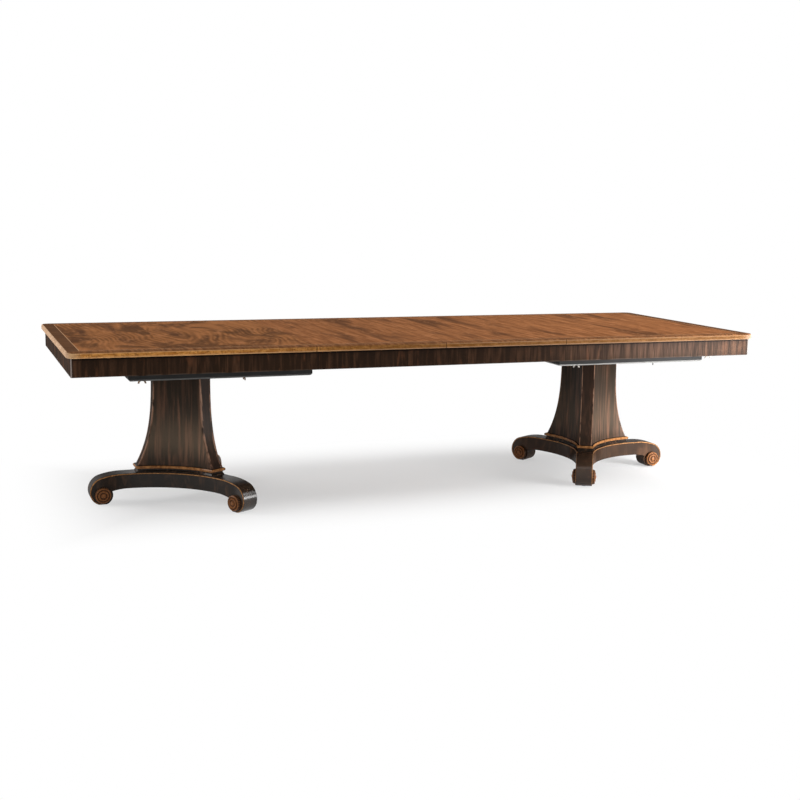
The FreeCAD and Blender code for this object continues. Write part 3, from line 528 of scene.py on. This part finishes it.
upright_veneer, place = new_finish("striped_apron_veneer")
x, y, z = axes(place)
stripes = grain(place, (66, 66, 5.0), detail=5.0, warp=0.3)
broad = grain(place, (14, 14, 1.5), detail=2.0)
flames = grain(place, (36, 36, 8.0), detail=2.0)
fine = grain(place, (380, 380, 9), detail=2.0)
narrow = grain(place, (170, 170, 9.0), detail=4.0, warp=0.4)
shade = blend(rise(stripes, 0.42, 0.76), APRON_DARK, APRON_STRIPE)
shade = blend(rise(broad, 0.42, 0.66) * 0.75, shade, APRON_SHADOW)
shade = blend(rise(flames, 0.58, 0.74) * 0.6, shade, APRON_FLAME)
# painted light: a paler, rosier lit copy of the veneer towards the right end, darker towards the foot
lit_apron = blend(rise(0.35 * stripes + 0.65 * narrow, 0.38, 0.62), LIT_APRON_DARK, LIT_APRON_STRIPE)
lit_apron = blend(fall(z, *FOOT_SHADE) * 0.4, lit_apron, LIT_APRON_FOOT)
shade = blend(rise(x, *LIT_APRON_RANGE) * 0.42, shade, lit_apron)
# painted shade: darker on the two leaves
on_leaf = x.maths("LESS_THAN", abs(x), LEAF_REACH)
shade = blend(on_leaf * 0.28, shade, LEAF_SHADE_BLACK)
# painted shade under the top, and a painted shadow line just below the lipping
shade = blend(rise(z, *HEAD_SHADE) * 0.35, shade, HEAD_SHADE_BLACK)
shade = blend(rise(z, *UNDER_LIP_SHADOW) * 0.75, shade, UNDER_LIP_SHADOW_BLACK)
shade = blend(fall(z, *FOOT_ARRIS) * rise(broad, 0.35, 0.6) * 0.4, shade, FOOT_GREY)
# painted highlight on the rounded corners of the apron
to_corner = APRON_END + APRON_SIDE - abs(x) - abs(y)
shade = blend(fall(to_corner, *CORNER_HIGHLIGHT) * 0.75, shade, CORNER_HIGHLIGHT_GREY)
close_finish(place, shade, 0.36 + 0.12 * stripes, fine, VENEER_RELIEF, Specular_IOR_Level=0.0,
             Coat_Weight=0.08, Coat_Roughness=0.35)
dress(upright_veneer, both("front_apron", "back_apron", "end_apron", "leaf_aprons"))


# Top and leaf panels: figured veneer with its grain across the table, a darker crossbanded border
# and a thin pale string between the two. Polished to a satin finish.

FIGURE_DARK, FIGURE_LIGHT = (0.16, 0.0575, 0.019, 1), (0.3, 0.117, 0.043, 1)
BURL_GOLD, BURL_ARC, BURL_CLOUD = (0.34, 0.137, 0.046, 1), (0.13, 0.05, 0.0155, 1), (0.058, 0.024, 0.0088, 1)
PLUME_BROWN, PORE_BROWN = (0.08, 0.0315, 0.0125, 1), (0.06, 0.024, 0.011, 1)
MOTTLE_LIGHT, MOTTLE_DARK = (0.36, 0.152, 0.062, 1), (0.12, 0.047, 0.017, 1)
BAND_DARK, BAND_LIGHT, BAND_END = (0.12, 0.05, 0.02, 1), (0.23, 0.096, 0.038, 1), (0.055, 0.026, 0.012, 1)
STRING_PALE, SEAM_BROWN = (0.5, 0.29, 0.16, 1), (0.03, 0.013, 0.006, 1)
TABLE_END, TABLE_SIDE, TABLE_TOP = cad_box[1]
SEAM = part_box("right_leaf_panel")[1][0]
SEAM_LINE = (0.0006, 0.0014)
SHEET_STEP = 3.7
BORDER = 0.056
STRING_WIDTH = 0.003
INLAY_EDGE = 0.0004
CALM, CURLY = 0.05, 0.15
BURL_HEART = (-1.12, 0.1, 0.0)
BURL_STRETCH = (1.0, 0.22, 1.0)
PORE_DEPTH = 0.00008


def veneer_pores(place):
    """Open pores of the top's veneer, drawn out across the table."""
    return grain(place, (420, 14, 1.0), detail=2.0)


def off_seam(x):
    """Distance from the nearest of the three seams of the top."""
    return x.maths("MINIMUM", abs(x), abs(abs(x) - SEAM))


def figure_colour(place):
    """Colour of the figured veneer inside the border: calm plumes, and burl on the left half."""
    x = axes(place)[0]
    sheet = x.maths("FLOOR", x / SEAM)
    shift = x.node("ShaderNodeCombineXYZ", {}, {"Z": sheet * SHEET_STEP})
    here = place.vectors("ADD", shift)
    eddies = x.node("ShaderNodeTexNoise", {}, {"Vector": here, "Scale": 2.6, "Detail": 1.0}, output=1)
    eddies = eddies.vectors("SUBTRACT", (0.5, 0.5, 0.5))
    burl = x.maths("LESS_THAN", x, -SEAM)
    curl = CALM + (CURLY - CALM) * burl
    bend = x.node("ShaderNodeVectorMath", {"operation": "SCALE"}, {0: eddies, "Scale": curl})
    bent = here.vectors("ADD", bend)
    streaks = grain(bent, (52, 3.2, 1.0), detail=5.0, warp=0.5)
    plumes = grain(bent, (8.0, 1.6, 1.0), detail=2.5, warp=0.4)
    mottle = grain(bent, (24, 9, 1.0), detail=4.0, warp=1.2)
    clouds = grain(here, (6.0, 3.0, 1.0), detail=2.0, warp=0.8)
    faint = grain(here, (4.0, 2.0, 1.0), detail=1.0)
    heart = bent.vectors("SUBTRACT", BURL_HEART).vectors("MULTIPLY", BURL_STRETCH)
    arcs = x.node("ShaderNodeTexWave", {"wave_type": "RINGS", "rings_direction": "Z"},
                  {"Vector": heart, "Scale": 12.0, "Distortion": 5.0, "Detail": 3.0}, output=1)
    figure = blend(rise(streaks, 0.25, 0.75), FIGURE_DARK, FIGURE_LIGHT)
    figure = blend(burl * 0.5, figure, BURL_GOLD)
    figure = blend(arcs * burl * (0.15 + 0.65 * rise(faint, 0.4, 0.6)), figure, BURL_ARC)
    figure = blend(rise(clouds, 0.48, 0.64) * burl * 0.75, figure, BURL_CLOUD)
    figure = blend(rise(plumes, 0.5, 0.7) * 0.85, figure, PLUME_BROWN)
    figure = blend(rise(mottle, 0.52, 0.72) * 0.45, figure, MOTTLE_LIGHT)
    figure = blend(fall(mottle, 0.3, 0.46) * 0.4, figure, MOTTLE_DARK)
    return blend(rise(veneer_pores(place), 0.6, 0.75) * 0.35, figure, PORE_BROWN)


def face_colour(place):
    """Colour of the table's upper face: figure, border, string and seams."""
    x, y, _ = axes(place)
    from_end = TABLE_END - abs(x)
    from_side = TABLE_SIDE - abs(y)
    depth = x.maths("MINIMUM", from_end, from_side)
    at_end = x.maths("LESS_THAN", from_end, from_side)
    end_grain = grain(place, (6, 80, 1.0), detail=4.0)
    side_grain = grain(place, (80, 6, 1.0), detail=4.0)
    band_grain = side_grain + at_end * (end_grain - side_grain)
    band = blend(rise(band_grain, 0.35, 0.7), BAND_DARK, BAND_LIGHT)
    band = blend(at_end * 0.6, band, BAND_END)
    colour = blend(rise(depth, BORDER - INLAY_EDGE, BORDER + INLAY_EDGE), band, figure_colour(place))
    half_string = STRING_WIDTH / 2
    string = fall(abs(depth - BORDER), half_string - INLAY_EDGE, half_string + INLAY_EDGE)
    colour = blend(string * 0.85, colour, STRING_PALE)
    return blend(fall(off_seam(x), *SEAM_LINE) * 0.6, colour, SEAM_BROWN)


veneer, place = new_finish("figured_veneer")
dulling = grain(place, (4, 4, 4), detail=3.0)
close_finish(place, face_colour(place), 0.4 + 0.2 * dulling, veneer_pores(place), PORE_DEPTH,
             Specular_IOR_Level=0.0, Coat_Weight=0.03, Coat_Roughness=0.25)
dress(veneer, both("top_panel", "leaf_panel"))


# Lipping: solid strips round the top, mitred at the corners, with both arrises rounded over. Golden-brown
# hardwood, as dark as the crossbanding on its upper face. Painted light: paler lit copies at the left and
# right, painted highlights along the arrises and near both ends, and end faces painted pale as lit.

EDGE_DARK_LIT_LEFT, EDGE_LIGHT_LIT_LEFT = (0.33, 0.124, 0.024, 1), (0.58, 0.265, 0.07, 1)
EDGE_DARK, EDGE_LIGHT = (0.13, 0.052, 0.013, 1), (0.225, 0.1, 0.03, 1)
EDGE_DARK_LIT_RIGHT, EDGE_LIGHT_LIT_RIGHT = (0.124, 0.052, 0.0145, 1), (0.215, 0.103, 0.038, 1)
EDGE_FLECK, EDGE_JOINT = (0.12, 0.05, 0.016, 1), (0.02, 0.01, 0.006, 1)
ARRIS_HIGHLIGHT, ARRIS_HIGHLIGHT_LEFT = (0.4, 0.24, 0.14, 1), (0.72, 0.42, 0.2, 1)
NEAR_END_HIGHLIGHT, NEAR_END_HIGHLIGHT_LEFT = (0.44, 0.3, 0.22, 1), (0.72, 0.46, 0.25, 1)
END_FACE_LIT_DARK, END_FACE_LIT_LIGHT = (0.4, 0.245, 0.145, 1), (0.58, 0.39, 0.26, 1)
EDGE_MIDDLE = sum(corner[2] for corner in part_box("right_top_lipping")) / 2
LEFT_LIGHT, RIGHT_LIGHT = (-1.3, -0.1), (0.0, 0.6)
SHINE_LEFT, SHINE_RIGHT = (-1.0, -0.6), (-0.3, 0.2)
LOWER_ARRIS, UPPER_ARRIS = (0.005, 0.011), (TABLE_TOP - 0.009, TABLE_TOP - 0.0065)
NEAR_END, AT_END = (TABLE_END - 0.07, TABLE_END - 0.01), (TABLE_END - 0.02, TABLE_END - 0.004)
FACE_DEPTH, FACE_LEVEL = (0.004, 0.008), (TABLE_TOP - 0.004, TABLE_TOP - 0.001)
FACE_TURN = (TABLE_TOP - 0.006, TABLE_TOP - 0.0035)
JOINT_LINE = (0.001, 0.0026)
EDGE_RELIEF = 0.0001

edge_wood, place = new_finish("golden_lipping")
x, y, z = axes(place)
depth = x.maths("MINIMUM", TABLE_END - abs(x), TABLE_SIDE - abs(y))
lines = grain(place, (30, 30, 120), detail=5.0, warp=0.8)
flecks = grain(place, (140, 140, 90), detail=4.0)
lit_left = fall(x, *LEFT_LIGHT)
lit_right = rise(x, *RIGHT_LIGHT)
# painted light: lit copies of the wood, palest at the left
dark = blend(lit_left, blend(lit_right, EDGE_DARK, EDGE_DARK_LIT_RIGHT), EDGE_DARK_LIT_LEFT)
light = blend(lit_left, blend(lit_right, EDGE_LIGHT, EDGE_LIGHT_LIT_RIGHT), EDGE_LIGHT_LIT_LEFT)
edge_colour = blend(rise(lines, 0.3, 0.7), dark, light)
edge_colour = blend(rise(flecks, 0.5, 0.64) * 0.55, edge_colour, EDGE_FLECK)
# painted highlights along the lower and upper arrises
arris_highlight = blend(lit_left, ARRIS_HIGHLIGHT, ARRIS_HIGHLIGHT_LEFT)
edge_colour = blend(rise(EDGE_MIDDLE - z, *LOWER_ARRIS) * 0.6, edge_colour, arris_highlight)
shine = fall(x, *SHINE_LEFT) + rise(x, *SHINE_RIGHT)
edge_colour = blend(rise(z, *UPPER_ARRIS) * shine * 0.45, edge_colour, arris_highlight)
# painted highlight near both ends, and end faces painted pale as painted light
near_end_highlight = blend(lit_left, NEAR_END_HIGHLIGHT, NEAR_END_HIGHLIGHT_LEFT)
edge_colour = blend(rise(abs(x), *NEAR_END) * 0.7, edge_colour, near_end_highlight)
at_end = rise(abs(x), *AT_END)
edge_colour = blend(at_end, edge_colour, blend(rise(lines, 0.3, 0.7), END_FACE_LIT_DARK, END_FACE_LIT_LIGHT))
on_face = rise(depth, *FACE_DEPTH) * rise(z, *FACE_LEVEL)
over_arris = rise(z, *FACE_TURN) * (1 - at_end)
edge_colour = blend(x.maths("MAXIMUM", on_face, over_arris), edge_colour, face_colour(place))
edge_colour = blend(fall(off_seam(x), *JOINT_LINE) * 0.8, edge_colour, EDGE_JOINT)
close_finish(place, edge_colour, 0.35 + 0.15 * lines, lines, EDGE_RELIEF, Specular_IOR_Level=0.0,
             Coat_Weight=0.03, Coat_Roughness=0.3)
dress(edge_wood, both("top_lipping", "leaf_lipping"))


# Seam fittings: bearer plates under the seams, lock plates with their posts, and the swinging hooks.
# Stamped brass, lacquered, gone brown in places.

BRASS_BROWN, BRASS_BRIGHT = (0.45, 0.28, 0.09, 1), (0.76, 0.56, 0.24, 1)
BRASS_RELIEF = 0.0001

brass, place = new_finish("lacquered_brass")
tarnish = grain(place, (70, 70, 70), detail=6.0)
brushed = grain(place, (25, 700, 700), detail=2.0)
brass_colour = blend(rise(tarnish, 0.35, 0.75), BRASS_BROWN, BRASS_BRIGHT)
close_finish(place, brass_colour, 0.25 + 0.2 * tarnish, brushed, BRASS_RELIEF, Metallic=0.95)
dress(brass, both("seam_fittings", "leaf_lock_fittings", "lock_hook") + ["middle_lock_hook"])


# Studio: a pale paper floor, less white under the table so that its shadow shows, a white surround, and
# soft lamps above and at both sides. The camera stands where the photograph was taken from, off the left
# front corner and above the top.

WHITE = (1, 1, 1, 1)
FLOOR_REACH = 60.0
FLOOR_GREY, FLOOR_WHITE = (0.86, 0.86, 0.86, 1), (0.89, 0.89, 0.89, 1)
SHADE_SHIFT = 0.13
WHITE_UNDER = 0.47
SHADE_EDGE = (-0.33, 0.32)
ROOM_LIGHT = 0.45


def seen_white(strand):
    """1 for what the camera sees straight, mirrored or through glass, and 0 for soft light."""
    rays = strand.node("ShaderNodeLightPath", {}, {}).socket.node.outputs
    seen = Strand(strand.tree, rays["Is Camera Ray"])
    for kind in ("Is Glossy Ray", "Is Transmission Ray"):
        seen = seen.maths("MAXIMUM", seen, Strand(strand.tree, rays[kind]))
    return seen


paper, place = new_finish("studio_paper")
fibre = grain(place, (3, 3, 3), detail=2.0)
x, y, _ = axes(place)
past_end = abs(x - SHADE_SHIFT) - TABLE_END
past_side = abs(y - SHADE_SHIFT) - TABLE_SIDE
away = x.maths("MAXIMUM", past_end, past_side)
whiteness = WHITE_UNDER + (1 - WHITE_UNDER) * rise(away, *SHADE_EDGE)
paper_colour = blend(fibre, FLOOR_GREY, FLOOR_WHITE)
matt = place.node("ShaderNodeBsdfPrincipled", {},
                  {"Base Color": paper_colour, "Roughness": 1.0, "Specular IOR Level": 0.0})
lit = place.node("ShaderNodeEmission", {}, {"Color": WHITE, "Strength": 1.0})
cover = place.node("ShaderNodeMixShader", {}, {0: seen_white(place) * whiteness, 1: matt, 2: lit})
place.node("ShaderNodeOutputMaterial", {}, {"Surface": cover})
floor_mesh = bpy.data.meshes.new("studio_floor")
floor_corners = [(-FLOOR_REACH, -FLOOR_REACH, 0), (FLOOR_REACH, -FLOOR_REACH, 0),
                 (FLOOR_REACH, FLOOR_REACH, 0), (-FLOOR_REACH, FLOOR_REACH, 0)]
floor_mesh.from_pydata(floor_corners, [], [(0, 1, 2, 3)])
floor_mesh.materials.append(paper)
floor = bpy.data.objects.new("studio_floor", floor_mesh)
bpy.context.scene.collection.objects.link(floor)

surround = bpy.data.worlds.new("white_surround")
surround.use_nodes = True
surround.node_tree.nodes.clear()
sky = Strand(surround.node_tree, None)
dim_room = sky.node("ShaderNodeBackground", {}, {"Color": WHITE, "Strength": ROOM_LIGHT})
white_room = sky.node("ShaderNodeBackground", {}, {"Color": WHITE, "Strength": 1.0})
room = sky.node("ShaderNodeMixShader", {}, {0: seen_white(sky), 1: dim_room, 2: white_room})
sky.node("ShaderNodeOutputWorld", {}, {"Surface": room})
bpy.context.scene.world = surround


def soft_lamp(name, spot, target, width, height, power, beam=180):
    """A soft box at a spot, turned to a target, its beam as wide as an angle in degrees."""
    lamp = bpy.data.lights.new(name, "AREA")
    lamp.shape = "RECTANGLE"
    lamp.size = width
    lamp.size_y = height
    lamp.energy = power
    lamp.spread = math.radians(beam)
    stand = bpy.data.objects.new(name, lamp)
    stand.location = spot
    stand.rotation_euler = (Vector(target) - Vector(spot)).to_track_quat("-Z", "Y").to_euler()
    bpy.context.scene.collection.objects.link(stand)


soft_lamp("overhead_box", (0.5, -0.5, 4.5), (0.3, 0.0, 0.0), width=6.0, height=4.0, power=75.0)
soft_lamp("right_top_box", (2.0, 0.2, 2.8), (0.0, 0.0, 0.76), width=1.2, height=1.2, power=27.0)
soft_lamp("right_front_box", (2.3, -1.8, 0.55), (1.2, -0.2, 0.5), width=1.0, height=0.8, power=60.0)
soft_lamp("right_foot_box", (2.1, -1.0, 0.22), (1.43, -0.06, 0.05), width=0.3, height=0.3, power=1.8, beam=45)
soft_lamp("right_high_box", (2.45, -1.4, 2.1), (-0.8, -0.3, 0.1), width=0.45, height=0.9, power=20.0)
soft_lamp("left_box", (-5.0, 1.0, 2.0), (-1.5, 0.0, 0.7), width=2.5, height=2.0, power=110.0)

CAMERA_PLACE = Vector((-2.109, -5.529, 1.378))
CAMERA_TURN, CAMERA_TILT, CAMERA_ROLL = (math.radians(angle) for angle in (20.954, 9.265, 0.959))
LENS_LENGTH, SENSOR_WIDTH = 55.25, 36.0

ahead = Vector((math.sin(CAMERA_TURN) * math.cos(CAMERA_TILT),
                math.cos(CAMERA_TURN) * math.cos(CAMERA_TILT),
                -math.sin(CAMERA_TILT)))
level_right = Vector((math.cos(CAMERA_TURN), -math.sin(CAMERA_TURN), 0))
level_up = level_right.cross(ahead)
right = math.cos(CAMERA_ROLL) * level_right + math.sin(CAMERA_ROLL) * level_up
up = math.cos(CAMERA_ROLL) * level_up - math.sin(CAMERA_ROLL) * level_right
lens = bpy.data.cameras.new("camera")
lens.lens = LENS_LENGTH
lens.sensor_width = SENSOR_WIDTH
camera = bpy.data.objects.new("camera", lens)
camera.matrix_world = Matrix((right, up, -ahead)).transposed().to_4x4()
camera.location = CAMERA_PLACE
bpy.context.scene.collection.objects.link(camera)
bpy.context.scene.camera = camera
bpy.context.scene.view_settings.view_transform = "Standard"
